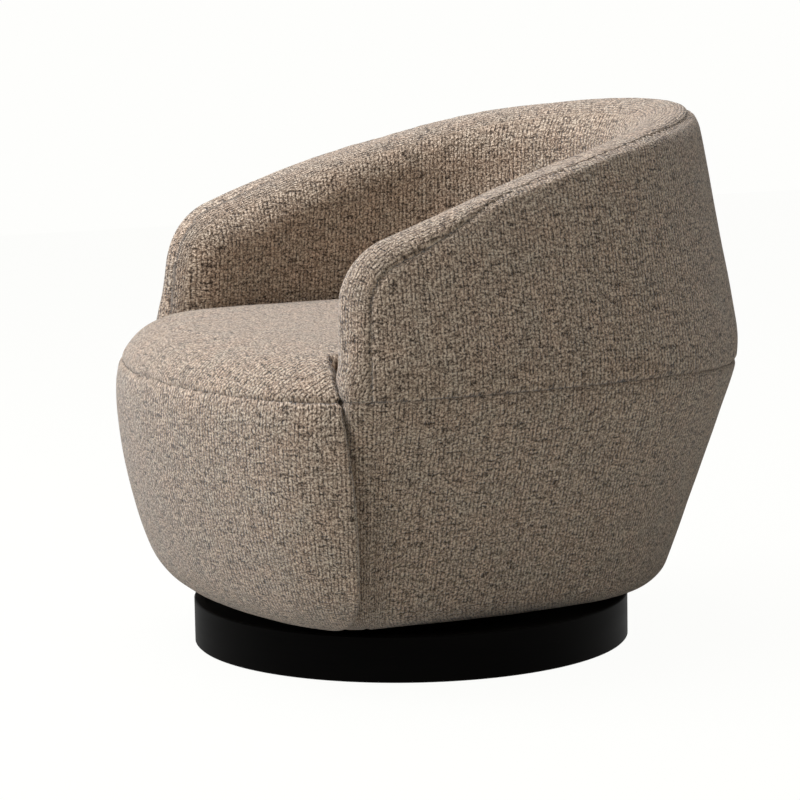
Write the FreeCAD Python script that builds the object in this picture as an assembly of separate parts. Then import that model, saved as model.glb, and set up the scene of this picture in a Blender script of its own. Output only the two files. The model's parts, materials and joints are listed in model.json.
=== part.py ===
import FreeCAD, Part
import math
import os
from FreeCAD import Vector

# Swivel lounge chair, millimetres. The front faces -Y, +Z is up, and the origin is on the
# floor under the middle of the upholstered body.

# Plan outline of the body at its waist: front, corner, side and back arcs, all tangent
body_half_width = 378.0
body_half_depth = 429.0
front_radius = 603.0
corner_radius = 197.0
side_radius = 1224.0
back_radius = 364.0

# Outer wall seen in section: two slopes that meet in a soft waist, and a rolled bottom edge
body_bottom = 70.0
waist_height = 407.0
waist_radius = 147.0
upper_lean = 10.3
lower_lean = 19.2
bottom_radius = 40.0
waist_seam_height = 389.0

# Side view of the arms: front edge, rounded nose and the long rim that climbs to the back
front_edge = -284.0
front_edge_radius = 230.0
front_edge_lower_lean = 7.2
front_edge_upper_lean = 4.8
nose_radius = 100.0
rim_radius = 3300.0
rim_back_slope = 9.0
back_top_height = 739.0
back_top_depth = 366.0
rim_outer_bevel = 12.0
rim_inner_bevel = 21.0
rim_bevel_start = 417.0

# Inner faces of the arms and back, measured inwards from the waist outline
well_height = 434.0
arm_inset = 98.0
arm_inset_rise = 0.16
back_inset = 170.0
back_inset_rise = -0.075
well_reach = 500.0

# Seat block: swelling front, round top edge and a low crown
seat_widest_height = 356.0
seat_top_radius = 87.0
seat_front_radius = 560.0
seat_bottom_radius = 60.0
crown_radius = 900.0
crown_inset = 180.0
block_band = 10.0
seat_gap = 0.6

# Cloth, foam and the spaces that they leave for the frame
soft_chord_rise = 1.2
cover_thickness = 3.0
cover_clearance = 0.3
border_inset = 14.0
cover_return = 20.0
outer_foam = 12.0
rim_foam = 22.0
inner_foam = 35.0
skirt_foam = 22.0
frame_clearance = 0.4

# Plywood frame
board_thickness = 18.0
base_board_inset = 137.5
rib_depth = 235.0
post_depth = 20.0
post_top = 474.0
seat_rail_bottom = 306.0
seat_rail_width = 60.0
side_rib_angles = (-2.5, 4.0)
back_rib_angles = (28.0, 52.0, 78.0)
front_rib_angles = (-90.0, -75.0, -62.0)
corner_rib_angle = -42.0
corner_rib_start = 49.0

# Elastic webbing and platform cloth
webbing_thickness = 1.5
seat_strap_width = 60.0
seat_strap_pitch = 82.0
cross_strap_positions = (-290.0, -195.0, -100.0, -5.0, 90.0, 185.0)
back_strap_heights = (466.0, 536.0, 606.0)
back_strap_width = 48.0
back_strap_front = 60.0
strap_end_margin = 6.0
platform_thickness = 1.5
platform_margin = 3.0

# Swivel plates with one ring of balls, on the turning axis
swivel_y = -40.0
plate_size = 240.0
plate_corner = 24.0
plate_thickness = 3.0
ball_radius = 4.5
ball_play = 0.1
ball_count = 8
race_radius = 85.0
race_lip = 1.5
race_lip_height = 2.2
cage_half_width = 6.0
cage_thickness = 1.8
cage_play = 0.25
pivot_radius = 12.0
pivot_head_radius = 18.0
pivot_head_height = 3.0
pivot_head_room = 6.0
pivot_play = 0.4
bolt_radius = 3.0
bolt_head_width = 10.0
bolt_head_height = 3.4
bolt_edge = 18.0
bolt_length = 20.0
tee_nut_radius = 4.5
tee_nut_flange_width = 18.0
tee_nut_flange = 1.5
fit = 0.2

# Round plinth
plinth_radius = 302.0
plinth_wall = 14.0
plinth_top = 64.0
plinth_board_thickness = 18.0
plinth_board_drop = 6.0
plinth_floor_thickness = 12.0
plinth_floor_width = 60.0
plinth_edge_bevel = 1.5
batten_width = 22.0
glide_height = 2.0
glide_radius = 16.0
glide_count = 6

# Dust cover under the seat frame
dust_cover_thickness = 1.2
dust_cover_overlap = 20.5


def rad(degrees):
    return math.radians(degrees)


# Heights that follow from the sizes above
board_top = plinth_top - plinth_board_drop
lower_plate_top = board_top + plate_thickness
upper_plate_bottom = lower_plate_top + 2 * (ball_radius + ball_play)
upper_plate_top = upper_plate_bottom + plate_thickness
base_board_top = upper_plate_top + board_thickness
seat_rail_top = seat_rail_bottom + board_thickness
platform_top = seat_rail_top + 2 * webbing_thickness + platform_thickness
foam_floor = platform_top + frame_clearance
foam_inset = cover_thickness + cover_clearance
well_top = back_top_height + waist_radius
far = 900.0


# Centres and end angles of the plan arcs on the +X half
back_centre = Vector(0, body_half_depth - back_radius, 0)
front_centre = Vector(0, front_radius - body_half_depth, 0)
side_x = body_half_width - side_radius
side_drop = math.sqrt((side_radius - back_radius) ** 2 - side_x ** 2)
side_centre = Vector(side_x, back_centre.y - side_drop, 0)


def circles_meet(first, first_radius, second, second_radius):
    line = second - first
    distance = line.Length
    along = (distance ** 2 + first_radius ** 2 - second_radius ** 2) / (2 * distance)
    across = math.sqrt(first_radius ** 2 - along ** 2)
    line.normalize()
    return first + line * along + Vector(line.y, -line.x, 0) * across


def angle_of(vector):
    return math.degrees(math.atan2(vector.y, vector.x))


corner_centre = circles_meet(side_centre, side_radius - corner_radius,
                             front_centre, front_radius - corner_radius)
front_end = angle_of(corner_centre - front_centre)
corner_end = angle_of(corner_centre - side_centre)
side_end = angle_of(back_centre - side_centre)
plan_arcs = (
    (front_centre, front_radius, -90.0, front_end),
    (corner_centre, corner_radius, front_end, corner_end),
    (side_centre, side_radius, corner_end, side_end),
    (back_centre, back_radius, side_end, 90.0),
)


def flat(y, z):
    return Vector(0, y, z)


def polar(centre, radius, degrees, z=0.0):
    return Vector(centre.x + radius * math.cos(rad(degrees)),
                  centre.y + radius * math.sin(rad(degrees)), z)


def plan_arc(centre, radius, start, end, z):
    middle = polar(centre, radius, (start + end) / 2, z)
    return Part.Arc(polar(centre, radius, start, z), middle, polar(centre, radius, end, z)).toShape()


def mirrored(shape):
    return shape.mirror(Vector(0, 0, 0), Vector(1, 0, 0))


def both_sides(shape):
    return shape.fuse(mirrored(shape)).removeSplitter()


def box(x0, x1, y0, y1, z0, z1):
    return Part.makeBox(x1 - x0, y1 - y0, z1 - z0, Vector(x0, y0, z0))


def above(height):
    return box(-far, far, -far, far, height, far)


def below(height):
    return box(-far, far, -far, far, -far, height)


def behind(y):
    return box(-far, far, y, far, -far, far)


def solids_of(shape):
    parts = shape.Solids
    return parts[0] if len(parts) == 1 else Part.makeCompound(parts)


def plan_prism(inset, z0, z1):
    right = [plan_arc(centre, radius - inset, start, end, z0)
             for centre, radius, start, end in plan_arcs]
    wire = Part.Wire(Part.__sortEdges__(right + [mirrored(edge) for edge in right]))
    return Part.Face(wire).extrude(Vector(0, 0, z1 - z0))


# Section of the outer wall, drawn at one plan radius in the XZ plane
def turned(x, z, radius, degrees):
    return Vector(x + radius * math.cos(rad(degrees)), 0, z + radius * math.sin(rad(degrees)))


def line(first, second):
    return Part.makeLine(first, second)


def section_arc(x, z, radius, full_radius, start, end):
    # A padded curve as a few flats; the count comes from the full radius, so that layers stay parallel
    step = 2 * math.degrees(math.acos(1 - soft_chord_rise / full_radius))
    count = math.ceil(abs(end - start) / step)
    points = [turned(x, z, radius, start + (end - start) * index / count) for index in range(count + 1)]
    return [line(first, second) for first, second in zip(points, points[1:])]


def wall_section(radius, inset):
    rise = body_bottom + bottom_radius - waist_height
    slack = waist_radius - bottom_radius + rise * math.sin(rad(lower_lean))
    waist_x = radius - waist_radius
    bottom_x = waist_x + slack / math.cos(rad(lower_lean))
    bottom_z = body_bottom + bottom_radius
    inner_x = radius - crown_inset - block_band
    bottom = section_arc(bottom_x, bottom_z, bottom_radius - inset, bottom_radius, -90, -lower_lean)
    waist = section_arc(waist_x, waist_height, waist_radius - inset, waist_radius, -lower_lean, upper_lean)
    low = turned(bottom_x, bottom_z, bottom_radius - inset, -90)
    low_end = turned(bottom_x, bottom_z, bottom_radius - inset, -lower_lean)
    waist_start = turned(waist_x, waist_height, waist_radius - inset, -lower_lean)
    waist_end = turned(waist_x, waist_height, waist_radius - inset, upper_lean)
    top_x = waist_end.x - (well_top - waist_end.z) * math.tan(rad(upper_lean))
    foot = Vector(inner_x, 0, body_bottom + inset)
    top = Vector(top_x, 0, well_top)
    head = Vector(inner_x, 0, well_top)
    return ([line(foot, low)] + bottom + [line(low_end, waist_start)] + waist
            + [line(waist_end, top), line(top, head), line(head, foot)])


def seat_section(radius, inset):
    top_x = radius - seat_top_radius
    crown_x = radius - crown_inset
    crown_reach = math.sqrt((crown_radius - seat_top_radius) ** 2 - (crown_inset - seat_top_radius) ** 2)
    crown_z = seat_widest_height - crown_reach
    crown_end = math.degrees(math.atan2(crown_reach, top_x - crown_x))
    front_x = radius - seat_front_radius
    bottom_z = body_bottom + seat_bottom_radius
    drop = seat_widest_height - bottom_z
    bottom_x = front_x + math.sqrt((seat_front_radius - seat_bottom_radius) ** 2 - drop ** 2)
    turn = math.degrees(math.atan2(-drop, bottom_x - front_x))
    inner_x = radius - crown_inset - block_band
    low = turned(bottom_x, bottom_z, seat_bottom_radius - inset, -90)
    crown_top = turned(crown_x, crown_z, crown_radius - inset, 90)
    foot = Vector(inner_x, 0, body_bottom + inset)
    head = Vector(inner_x, 0, crown_top.z)
    return ([line(foot, low)]
            + section_arc(bottom_x, bottom_z, seat_bottom_radius - inset, seat_bottom_radius, -90, turn)
            + section_arc(front_x, seat_widest_height, seat_front_radius - inset, seat_front_radius, turn, 0)
            + section_arc(top_x, seat_widest_height, seat_top_radius - inset, seat_top_radius, 0, crown_end)
            + section_arc(crown_x, crown_z, crown_radius - inset, crown_radius, crown_end, 90)
            + [line(crown_top, head), line(head, foot)])


def block(section, inset):
    # The section turned about each plan arc's centre, with a prism that fills the middle
    half = None
    for centre, radius, start, end in plan_arcs:
        wire = Part.Wire(section(radius, inset))
        piece = Part.Face(wire).revolve(Vector(0, 0, 0), Vector(0, 0, 1), end - start)
        piece.rotate(Vector(0, 0, 0), Vector(0, 0, 1), start)
        piece.translate(centre)
        half = piece if half is None else half.fuse(piece)
    inner_line = section(side_radius, inset)[-1]
    z1, z0 = [vertex.Z for vertex in inner_line.Vertexes]
    return both_sides(half).fuse(plan_prism(crown_inset, min(z0, z1), max(z0, z1))).removeSplitter()


# Side view of tub: everything behind and under this line belongs to the arms and back
def side_view(inset):
    front_y = front_edge + front_edge_radius
    reach = front_edge_radius - inset

    def outward(degrees):
        return flat(-math.cos(rad(degrees)), math.sin(rad(degrees)))

    low_normal = outward(-front_edge_lower_lean)
    high_normal = outward(front_edge_upper_lean)
    front = flat(front_y, waist_height)
    low_end = front + low_normal * reach
    high_end = front + high_normal * reach
    arc_middle = front + outward((front_edge_upper_lean - front_edge_lower_lean) / 2) * reach
    floor_z = -far / 4
    foot = flat(low_end.y + (low_end.z - floor_z) * math.tan(rad(front_edge_lower_lean)), floor_z)
    rim_centre = flat(back_top_depth + rim_radius * math.sin(rad(rim_back_slope)),
                      back_top_height - rim_radius * math.cos(rad(rim_back_slope)))
    # The nose arc touches the upper front line and the rim arc
    start = front + high_normal * (front_edge_radius - nose_radius)
    up = flat(math.sin(rad(front_edge_upper_lean)), math.cos(rad(front_edge_upper_lean)))
    offset = start - rim_centre
    half_b = offset.dot(up)
    free = offset.dot(offset) - (rim_radius - nose_radius) ** 2
    nose = start + up * (math.sqrt(half_b ** 2 - free) - half_b)
    to_rim = nose - rim_centre
    to_rim.normalize()
    nose_end = nose + to_rim * (nose_radius - inset)
    nose_middle = high_normal + to_rim
    nose_middle.normalize()
    nose_start = nose + high_normal * (nose_radius - inset)
    rim_end = rim_centre + flat(0, rim_radius - inset)
    rim_middle = to_rim + flat(0, 1)
    rim_middle.normalize()
    back_foot = flat(rim_end.y, floor_z)
    wire = Part.Wire([
        line(foot, low_end), Part.Arc(low_end, arc_middle, high_end).toShape(),
        line(high_end, nose_start),
        Part.Arc(nose_start, nose + nose_middle * (nose_radius - inset), nose_end).toShape(),
        Part.Arc(nose_end, rim_centre + rim_middle * (rim_radius - inset), rim_end).toShape(),
        line(rim_end, back_foot), line(back_foot, foot)])
    face = Part.Face(wire)
    face.translate(Vector(-far, 0, 0))
    return face.extrude(Vector(2 * far, 0, 0))


# The open well between the arms, drawn at one height
def well_wire(side_inset, rear_inset, z):
    side_reach = side_radius - side_inset
    rear_y = body_half_depth - rear_inset
    k = side_reach - rear_y
    centre_y = (side_centre.x ** 2 + side_centre.y ** 2 - k ** 2) / (2 * (k + side_centre.y))
    rear_centre = Vector(0, centre_y, 0)
    start = math.degrees(math.asin((-well_reach - side_centre.y) / side_reach))
    turn = angle_of(rear_centre - side_centre)
    right = plan_arc(side_centre, side_reach, start, turn, z)
    rear = plan_arc(rear_centre, rear_y - centre_y, turn, 180 - turn, z)
    left = mirrored(right)
    first = polar(side_centre, side_reach, start, z)
    second = Vector(-first.x, first.y, z)
    return Part.Wire(Part.__sortEdges__([right, rear, left, line(second, first)]))


def well_at(height, grow):
    rise = height - well_height
    if rise >= 0:
        return well_wire(arm_inset + arm_inset_rise * rise - grow,
                         back_inset + back_inset_rise * rise - grow, height)
    slope = math.tan(rad(lower_lean))
    return well_wire(arm_inset - slope * rise - grow, back_inset - slope * rise - grow, height)


def well(low, high, grow):
    levels = (board_top, well_height, well_top)
    whole = Part.makeLoft([well_at(level, grow) for level in levels], True, True)
    return whole.common(box(-far, far, -far, far, low, high))


def rim_edges(shape):
    # Edges where the side view's front, nose and rim meet the outer wall and the well
    outer = []
    inner = []
    for edge in shape.Edges:
        faces = shape.ancestorsOfType(edge, Part.Face)
        if len(faces) != 2:
            continue
        kinds = [type(face.Surface).__name__ for face in faces]
        cut = [is_side_view_face(face) for face in faces]
        if cut[0] == cut[1]:
            continue
        other = faces[1] if cut[0] else faces[0]
        kind = kinds[1] if cut[0] else kinds[0]
        if kind == "Plane":
            continue
        if kind in ("Cone", "Toroid", "Cylinder"):
            outer.append(edge)
        elif other.BoundBox.ZMin >= well_height - 1:
            inner.append(edge)
    return outer, inner


def is_side_view_face(face):
    surface = face.Surface
    if type(surface).__name__ == "Plane":
        return abs(surface.Axis.x) < 1e-6 and abs(surface.Axis.z) < 0.5
    return type(surface).__name__ == "Cylinder" and abs(surface.Axis.x) > 0.999


# Arms and back as one form, drawn in by an inset; the lower well is cut down to a floor
def tub(inset, rim_inset, inner_inset, bevelled=True, floor=foam_floor):
    shape = block(wall_section, inset).common(side_view(rim_inset))
    shape = shape.cut(well(well_height, well_top, inner_inset))
    if bevelled:
        narrowing = inset * (2 - math.sqrt(2))
        shape = shape.makeChamfer(rim_inner_bevel - narrowing, rim_edges(shape)[1])
        outer = [edge for edge in rim_edges(shape)[0] if edge.BoundBox.ZMin > rim_bevel_start]
        shape = shape.makeChamfer(rim_outer_bevel - narrowing, outer)
    return shape.cut(well(floor, well_height, inner_inset))


def wall_flat_inset():
    # Where the rolled bottom edge of the outer wall turns level
    return side_radius - wall_section(side_radius, 0.0)[0].Vertexes[1].X


def seat_flat_inset():
    return side_radius - seat_section(side_radius, 0.0)[0].Vertexes[1].X


def seat_inset_at(height):
    # How far the front of the seat block has drawn in below its widest line
    return soft_chord_rise + seat_front_radius - math.sqrt(seat_front_radius ** 2 - (seat_widest_height - height) ** 2)


def seat_block(inset, floor):
    # The head in front of the arms, and the stem that runs back between them
    whole = block(seat_section, inset)
    head = whole.cut(side_view(-seat_gap - inset))
    stem = whole.common(well(floor, well_height + seat_top_radius, -seat_gap - inset))
    return head.fuse(stem).removeSplitter()


def disc(radius, z0, z1, x=0.0, y=swivel_y):
    return Part.makeCylinder(radius, z1 - z0, Vector(x, y, z0))


def ring(outer, inner, z0, z1):
    return disc(outer, z0, z1).cut(disc(inner, z0, z1))


def plinth():
    wall = ring(plinth_radius, plinth_radius - plinth_wall, glide_height, plinth_top)
    wall = wall.makeChamfer(plinth_edge_bevel, [edge for edge in wall.Edges
                                               if abs(edge.BoundBox.XMax - plinth_radius) < 0.5
                                               and edge.BoundBox.ZLength < 0.5])
    inside = plinth_radius - plinth_wall - fit
    floor_top = glide_height + plinth_floor_thickness
    board_bottom = board_top - plinth_board_thickness
    floor_ring = ring(inside, inside - plinth_floor_width, glide_height, floor_top)
    middle = (floor_top + board_bottom) / 2
    half = batten_width / 2
    room = disc(inside, floor_top, board_bottom)
    lengthwise = room.common(box(-half, half, -far, far, floor_top, board_bottom))
    crosswise = room.common(box(-far, far, swivel_y - half, swivel_y + half, floor_top, board_bottom))
    lap = box(-half, half, swivel_y - half, swivel_y + half, middle, board_bottom)
    lower_lap = box(-half, half, swivel_y - half, swivel_y + half, floor_top, middle)
    board = disc(inside, board_bottom, board_top)
    for x, y in bolt_places():
        board = board.cut(disc(bolt_radius, board_bottom, board_top, x, y))
    glides = []
    glide_ring = inside - plinth_floor_width / 2
    for index in range(glide_count):
        turn = rad(360.0 * (index + 0.5) / glide_count)
        place = (glide_ring * math.cos(turn), swivel_y + glide_ring * math.sin(turn))
        glides.append(disc(glide_radius, 0.0, glide_height, *place))
    return {"plinth_wall": wall, "plinth_floor_ring": floor_ring,
            "plinth_batten_lengthwise": lengthwise.cut(lap),
            "plinth_batten_crosswise": crosswise.cut(lower_lap),
            "plinth_top_board": board, "floor_glides": Part.makeCompound(glides)}


def bolt_places():
    reach = plate_size / 2 - bolt_edge
    return [(x, swivel_y + y) for x in (-reach, reach) for y in (-reach, reach)]


def square_plate(z0):
    half = plate_size / 2
    plate = box(-half, half, swivel_y - half, swivel_y + half, z0, z0 + plate_thickness)
    corners = [edge for edge in plate.Edges if edge.BoundBox.ZLength > plate_thickness / 2]
    plate = plate.makeFillet(plate_corner, corners)
    for x, y in bolt_places():
        plate = plate.cut(disc(bolt_radius + fit, z0, z0 + plate_thickness, x, y))
    return plate


def race_lips():
    # The lower plate's lip runs inside the balls and the upper plate's outside them
    inner = race_radius - ball_radius - ball_play
    outer = race_radius + ball_radius + ball_play
    return (ring(inner, inner - race_lip, lower_plate_top, lower_plate_top + race_lip_height),
            ring(outer + race_lip, outer, upper_plate_bottom - race_lip_height, upper_plate_bottom))


def hexagon(width, z0, z1, x, y):
    corners = [polar(Vector(x, y, 0), width / math.sqrt(3), 60.0 * index, z0) for index in range(7)]
    return Part.Face(Part.makePolygon(corners)).extrude(Vector(0, 0, z1 - z0))


def bolt(x, y, head_low, shank_low, shank_high):
    head = hexagon(bolt_head_width, head_low, head_low + bolt_head_height, x, y)
    return head.fuse(disc(bolt_radius, shank_low, shank_high, x, y)).removeSplitter()


def swivel():
    lower_lip, upper_lip = race_lips()
    lower = square_plate(board_top).fuse(lower_lip)
    pin = disc(pivot_radius, lower_plate_top, upper_plate_top + fit)
    pin = pin.fuse(disc(pivot_head_radius, upper_plate_top + fit, upper_plate_top + fit + pivot_head_height))
    upper = square_plate(upper_plate_bottom).fuse(upper_lip)
    upper = upper.cut(disc(pivot_radius + pivot_play, board_top, base_board_top))
    ball_height = lower_plate_top + ball_play + ball_radius
    cage = ring(race_radius + cage_half_width, race_radius - cage_half_width,
                ball_height - cage_thickness / 2, ball_height + cage_thickness / 2)
    balls = []
    for index in range(ball_count):
        turn = rad(360.0 * index / ball_count)
        x = race_radius * math.cos(turn)
        y = swivel_y + race_radius * math.sin(turn)
        balls.append(Part.makeSphere(ball_radius, Vector(x, y, ball_height)))
        cage = cage.cut(disc(ball_radius + cage_play, board_top, upper_plate_top, x, y))
    lower_bolts = []
    upper_bolts = []
    nuts = []
    for x, y in bolt_places():
        head_top = lower_plate_top + bolt_head_height
        lower_bolts.append(bolt(x, y, lower_plate_top, head_top - bolt_length, head_top))
        head_low = upper_plate_bottom - bolt_head_height
        upper_bolts.append(bolt(x, y, head_low, head_low, head_low + bolt_length))
        nut = disc(tee_nut_radius, upper_plate_top, base_board_top, x, y)
        nut = nut.fuse(hexagon(tee_nut_flange_width, base_board_top, base_board_top + tee_nut_flange, x, y))
        nuts.append(nut.cut(disc(bolt_radius + fit / 2, board_top, waist_height, x, y)))
    return {"bearing_lower_plate": lower.removeSplitter(), "bearing_pivot_pin": pin.removeSplitter(),
            "bearing_lower_bolts": Part.makeCompound(lower_bolts), "ball_cage": cage,
            "bearing_balls": Part.makeCompound(balls), "bearing_upper_plate": upper.removeSplitter(),
            "bearing_upper_bolts": Part.makeCompound(upper_bolts), "tee_nuts": Part.makeCompound(nuts)}


def base_board():
    board = plan_prism(base_board_inset, upper_plate_top, base_board_top)
    board = board.cut(disc(pivot_head_radius + pivot_head_room, board_top, waist_height))
    for x, y in bolt_places():
        board = board.cut(disc(tee_nut_radius + fit / 2, board_top, waist_height, x, y))
    half = plate_size / 2 + fit
    sheet = plan_prism(wall_flat_inset() + dust_cover_overlap, upper_plate_top - dust_cover_thickness,
                       upper_plate_top)
    sheet = sheet.cut(box(-half, half, swivel_y - half, swivel_y + half, board_top, waist_height))
    return {"seat_base_board": board, "dust_cover": sheet}


def rib_slab(centre, radius, degrees, low, high):
    slab = box(radius - rib_depth, radius, -board_thickness / 2, board_thickness / 2, low, high)
    slab.rotate(Vector(0, 0, 0), Vector(0, 0, 1), degrees)
    slab.translate(centre)
    return slab


def tub_slabs(low, high):
    slabs = [rib_slab(side_centre, side_radius, angle, low, high) for angle in side_rib_angles]
    slabs += [rib_slab(back_centre, back_radius, angle, low, high) for angle in back_rib_angles]
    return slabs + [mirrored(slab) for slab in slabs]


def frame_space(strap_room):
    # The hollow in the foam of the arms and back, above the base board
    return tub(foam_inset + outer_foam, foam_inset + rim_foam, foam_inset + inner_foam + strap_room,
               bevelled=False, floor=seat_rail_bottom)


def tub_frame(space):
    waist_low = waist_height - board_thickness / 2
    waist_high = waist_height + board_thickness / 2
    post_front = foam_inset + rim_foam
    behind_posts = side_view(post_front + post_depth)
    band = space.cut(behind_posts)
    top_rail = band.common(above(post_top))
    posts = band.common(box(-far, far, -far, far, base_board_top, post_top))
    posts = posts.cut(well(board_top, seat_rail_bottom, 0.0))
    waist_rail = space.common(behind_posts).common(box(-far, far, -far, far, waist_low, waist_high))
    lower = []
    upper = []
    rib_space = space.common(behind_posts)
    for slab in tub_slabs(base_board_top, waist_low):
        lower.append(slab.common(rib_space))
    for slab in tub_slabs(waist_high, back_top_height):
        upper.append(slab.common(rib_space))
    return {"arm_front_posts": posts, "top_rail": top_rail, "waist_rail": waist_rail,
            "lower_ribs": Part.makeCompound(lower), "upper_ribs": Part.makeCompound(upper)}


def rail_plan(z0, z1, shrink):
    # Plan of the seat rail: it fills the head, passes between the arms and widens behind the posts
    skirt = foam_inset + skirt_foam + frame_clearance
    head = plan_prism(skirt + seat_inset_at(seat_rail_bottom) + shrink, z0, z1)
    neck = head.common(well(z0, z1, -frame_clearance - shrink))
    head = head.cut(side_view(-seat_gap - skirt - shrink))
    rear = well(z0, z1, foam_inset + inner_foam - shrink)
    rear = rear.common(side_view(foam_inset + rim_foam + post_depth + frame_clearance + shrink))
    return head.fuse([neck, rear]).removeSplitter()


def seat_frame():
    rail = rail_plan(seat_rail_bottom, seat_rail_top, 0.0)
    rail = rail.cut(rail_plan(seat_rail_bottom, seat_rail_top, seat_rail_width))
    skirt = foam_inset + skirt_foam
    room = block(seat_section, skirt).fuse(
        plan_prism(base_board_inset, base_board_top, base_board_top + skirt))
    room = room.common(box(-far, far, -far, far, base_board_top, seat_rail_bottom))
    room = room.cut(side_view(-seat_gap - skirt - frame_clearance))
    ribs = [rib_slab(front_centre, front_radius, angle, base_board_top, seat_rail_bottom)
            for angle in front_rib_angles]
    corner = box(corner_rib_start, corner_radius, -board_thickness / 2, board_thickness / 2,
                 base_board_top, seat_rail_bottom)
    corner.rotate(Vector(0, 0, 0), Vector(0, 0, 1), corner_rib_angle)
    corner.translate(corner_centre)
    ribs.append(corner)
    ribs += [mirrored(slab) for slab in ribs[1:]]
    return {"seat_rail": rail, "front_ribs": Part.makeCompound([slab.common(room) for slab in ribs])}


def webbing():
    first = seat_rail_top
    second = first + webbing_thickness
    third = second + webbing_thickness
    half = seat_strap_width / 2
    lengthwise = rail_plan(first, second, strap_end_margin)
    crosswise = rail_plan(second, third, strap_end_margin)
    long_straps = [lengthwise.common(box(index * seat_strap_pitch - half, index * seat_strap_pitch + half,
                                         -far, far, first, second)) for index in (-2, -1, 0, 1, 2)]
    cross_straps = [crosswise.common(box(-far, far, y - half, y + half, second, third))
                    for y in cross_strap_positions]
    cloth = rail_plan(third, third + platform_thickness, platform_margin)
    room = foam_inset + inner_foam + frame_clearance
    skin = well(well_height, well_top, room + webbing_thickness).cut(well(well_height, well_top, room))
    skin = skin.common(behind(back_strap_front))
    back_straps = [skin.common(box(-far, far, -far, far, z - back_strap_width / 2, z + back_strap_width / 2))
                   for z in back_strap_heights]
    return {"seat_webbing_lengthwise": Part.makeCompound(long_straps),
            "seat_webbing_crosswise": Part.makeCompound(cross_straps), "platform_cloth": cloth,
            "back_webbing": Part.makeCompound(back_straps)}


def upholstery():
    low = board_top
    inside = well(low, foam_floor, foam_inset + inner_foam).common(side_view(foam_inset + rim_foam))
    passage = well(low, foam_floor, 0.0).common(behind(front_edge - foam_inset - 2 * skirt_foam))
    board_room = plan_prism(base_board_inset - frame_clearance, low, base_board_top + frame_clearance)
    foam = tub(foam_inset, foam_inset, foam_inset)
    skin = tub(0.0, 0.0, 0.0).cut(tub(cover_thickness, cover_thickness, cover_thickness))
    skin = skin.cut(inside).cut(passage).cut(board_room)
    bottom = plan_prism(wall_flat_inset() + cover_return, low, body_bottom + border_inset)
    skin = skin.cut(bottom)
    border = block(wall_section, border_inset)
    outer = skin.cut(border)
    foam = foam.cut(frame_space(0.0)).cut(inside).cut(passage).cut(board_room)
    covers = {"inner_cover": skin.common(border),
              "outer_upper_cover": outer.common(above(waist_seam_height)),
              "outer_lower_cover": outer.common(below(waist_seam_height)), "tub_foam": foam}

    seat_foam = seat_block(foam_inset, foam_floor)
    skirt = foam_inset + skirt_foam
    hollow = block(seat_section, skirt)
    hollow = hollow.cut(side_view(-seat_gap - skirt)).fuse(hollow.common(passage))
    hollow = hollow.common(below(foam_floor))
    seat_foam = seat_foam.cut(hollow).cut(board_room).cut(passage)
    seat_skin = seat_block(0.0, foam_floor)
    seat_skin = seat_skin.cut(seat_block(cover_thickness, foam_floor - skirt_foam))
    seat_skin = seat_skin.cut(passage)
    seat_skin = seat_skin.cut(plan_prism(seat_flat_inset() + cover_return, low, body_bottom + skirt))
    band_room = below(waist_seam_height).cut(side_view(-seat_gap))
    covers["seat_foam"] = seat_foam
    covers["seat_band_cover"] = seat_skin.common(band_room)
    covers["seat_top_cover"] = seat_skin.cut(band_room)
    return covers


def main():
    nodes = {}
    nodes.update(plinth())
    nodes.update(swivel())
    nodes.update(base_board())
    nodes.update(tub_frame(frame_space(webbing_thickness + 2 * frame_clearance)))
    nodes.update(seat_frame())
    nodes.update(webbing())
    nodes.update(upholstery())
    os.makedirs("parts", exist_ok=True)
    for name, shape in nodes.items():
        whole = solids_of(shape)
        print(name, len(shape.Solids), "solids", round(whole.Volume / 1000.0, 1), "cm3", whole.isValid())
        whole.exportStep("parts/" + name + ".step")


main()
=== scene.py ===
import json
import math
import bmesh
import bpy
import numpy as np
from mathutils import Matrix, Vector, kdtree, noise


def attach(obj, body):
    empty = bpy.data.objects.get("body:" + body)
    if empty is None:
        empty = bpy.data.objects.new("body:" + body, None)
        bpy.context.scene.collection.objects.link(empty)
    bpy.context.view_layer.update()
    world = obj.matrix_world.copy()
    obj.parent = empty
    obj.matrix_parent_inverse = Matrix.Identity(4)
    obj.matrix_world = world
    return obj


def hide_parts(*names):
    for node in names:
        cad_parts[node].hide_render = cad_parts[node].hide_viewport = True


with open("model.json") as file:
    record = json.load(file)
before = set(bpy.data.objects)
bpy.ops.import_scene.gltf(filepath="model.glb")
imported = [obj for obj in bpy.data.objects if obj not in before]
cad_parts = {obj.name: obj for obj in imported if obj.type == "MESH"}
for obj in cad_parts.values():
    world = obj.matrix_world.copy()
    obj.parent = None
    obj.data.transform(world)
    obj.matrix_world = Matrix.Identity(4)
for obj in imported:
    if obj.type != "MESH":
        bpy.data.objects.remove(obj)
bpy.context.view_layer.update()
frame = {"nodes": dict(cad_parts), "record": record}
print("frame loaded")

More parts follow.
